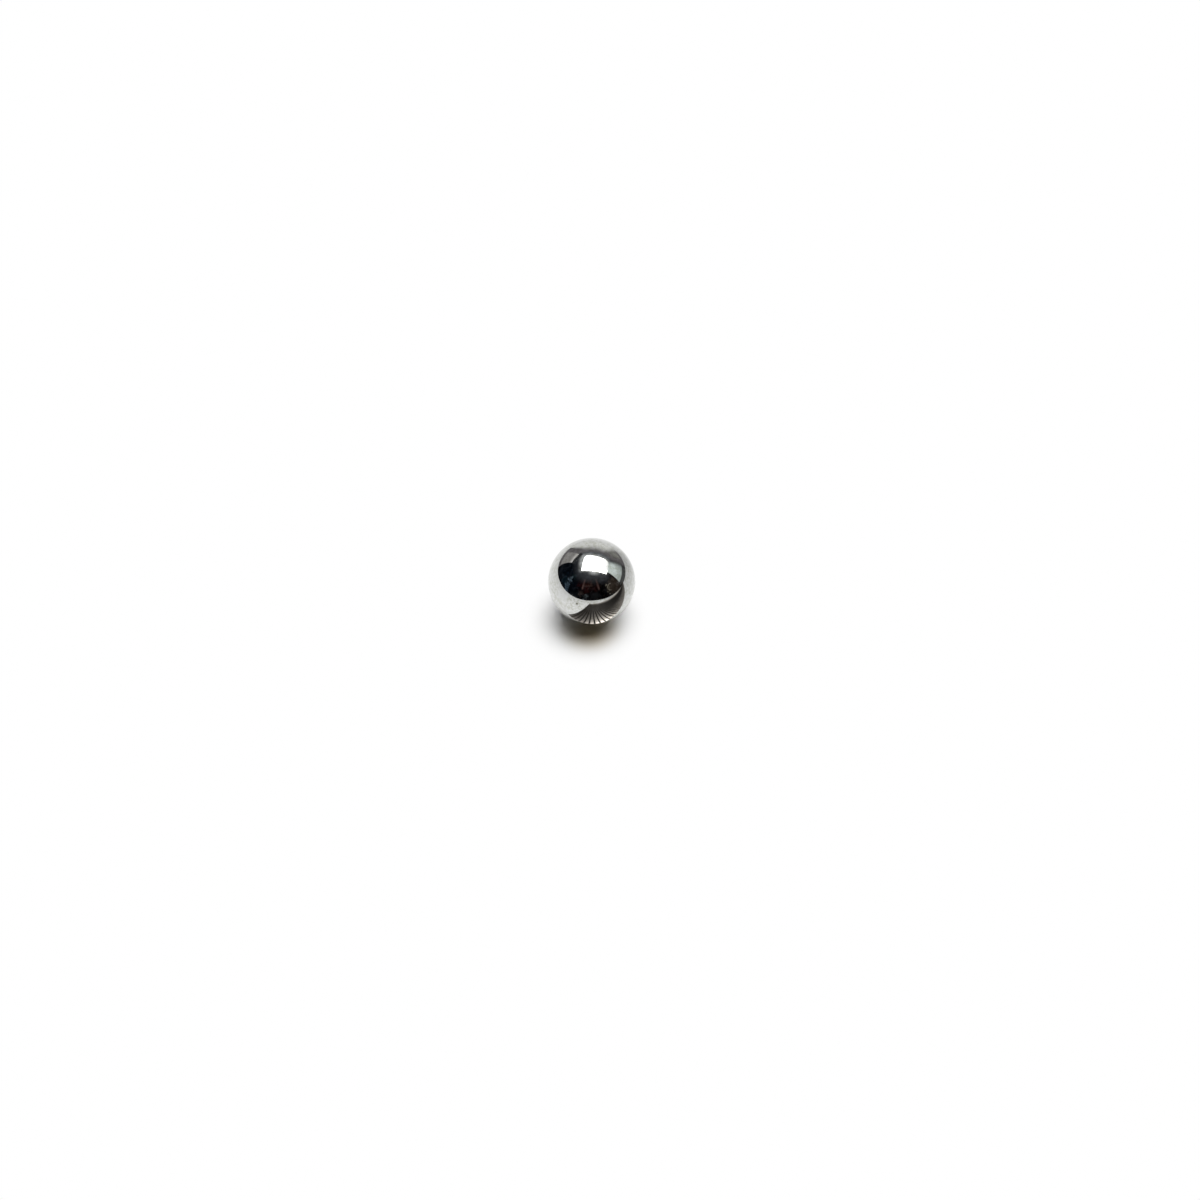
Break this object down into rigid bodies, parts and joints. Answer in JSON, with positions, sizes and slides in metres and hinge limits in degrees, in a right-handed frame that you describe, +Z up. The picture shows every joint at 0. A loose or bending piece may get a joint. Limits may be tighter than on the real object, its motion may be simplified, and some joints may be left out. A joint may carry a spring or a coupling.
{
  "type": "steel ball",
  "caption": "Small solid steel ball, lapped round and polished to a mirror finish, for bearings, valves, detents and bench work.",
  "frame": {"origin": "centre of the ball", "axes": "+Z up, with the seat that holds the ball below it on -Z; a sphere is the same on every side, so +X and +Y are free choices"},
  "size_m": [0.0064, 0.0064, 0.0064],
  "materials": {
    "polished_steel": "polished"
  },
  "bodies": {
    "root": {"ball": "polished_steel"}
  },
  "joints": []
}
